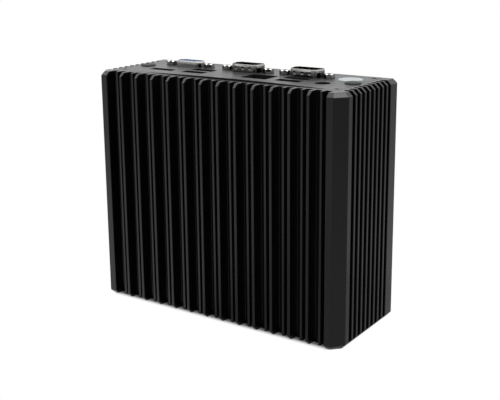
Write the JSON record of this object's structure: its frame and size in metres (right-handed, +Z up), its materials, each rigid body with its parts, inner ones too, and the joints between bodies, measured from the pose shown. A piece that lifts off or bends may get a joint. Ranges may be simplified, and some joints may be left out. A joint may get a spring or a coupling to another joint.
{
  "type": "fanless box computer",
  "caption": "Fanless point-of-sale box computer: black finned aluminium housing standing on end, connector panel on top with a press power button, plain back cover with mounting holes.",
  "frame": {"origin": "centre of the footprint on the surface that the housing stands on", "axes": "+Z up from the lower end panel to the connector panel, +X along the wide finned face, +Y from that face to the back cover"},
  "size_m": [0.144, 0.054, 0.1239],
  "materials": {
    "black_anodised": "fine matt black anodised extrusion",
    "panel_anodised": "matt black anodised plate",
    "cover_black": "matt black anodised plate",
    "black_screw": "black oxide steel",
    "tin_shell": "tin plated pressed steel",
    "nickel_shell": "bright nickel plate",
    "blue_insert": "moulded blue thermoplastic",
    "black_plastic": "moulded black thermoplastic",
    "gold_contact": "gold flash contact",
    "green_board": "solder-masked glass epoxy board",
    "bare_aluminium": "milled aluminium",
    "brass_pillar": "turned brass",
    "plain_steel": "bright plated steel",
    "grey_pad": "soft silicone pad",
    "dark_package": "chip package",
    "button_white": "pale satin plastic",
    "black_rubber": "moulded black rubber",
    "dark_lens": "smoked lens"
  },
  "bodies": {
    "housing": {"heatsink_housing": "black_anodised", "io_panel": "panel_anodised", "lower_panel": "panel_anodised", "base_cover": "cover_black", "io_panel_screws": "black_screw", "lower_panel_screws": "black_screw", "base_cover_screws": "black_screw", "com1_shell": "tin_shell", "com2_shell": "tin_shell", "hdmi_shell": "tin_shell", "usb_left_shell": "tin_shell", "usb_right_shell": "tin_shell", "vga_shell": "nickel_shell", "vga_jackscrews": "nickel_shell", "com_jackscrews": "nickel_shell", "vga_insulator": "blue_insert", "com1_insulator": "black_plastic", "com2_insulator": "black_plastic", "hdmi_tongue": "black_plastic", "usb_left_tongues": "black_plastic", "usb_right_tongues": "black_plastic", "lan_jack": "black_plastic", "dc_jack": "black_plastic", "memory_socket": "black_plastic", "storage_socket": "black_plastic", "wireless_socket": "black_plastic", "coin_cell_holder": "black_plastic", "power_switch": "black_plastic", "port_link_header": "black_plastic", "com1_pins": "gold_contact", "com2_pins": "gold_contact", "lan_contacts": "gold_contact", "dc_jack_pin": "gold_contact", "mainboard": "green_board", "port_board": "green_board", "memory_module": "green_board", "storage_card": "green_board", "wireless_card": "green_board", "heat_block": "bare_aluminium", "board_standoffs": "brass_pillar", "port_board_pillars": "brass_pillar", "board_screws": "plain_steel", "port_board_screws": "plain_steel", "heat_block_screws": "plain_steel", "coin_cell": "plain_steel", "thermal_pad": "grey_pad", "processor": "dark_package", "antenna_hole_plugs": "black_rubber", "indicator_lenses": "dark_lens"},
    "power_button": {"power_button_cap": "button_white", "power_switch_plunger": "button_white"}
  },
  "joints": [
    {"name": "power_button_press", "type": "slide", "parent": "housing", "child": "power_button", "axis": [0, 0, -1], "range_m": [0, 0.001], "stiffness_N_per_m": 800}
  ]
}
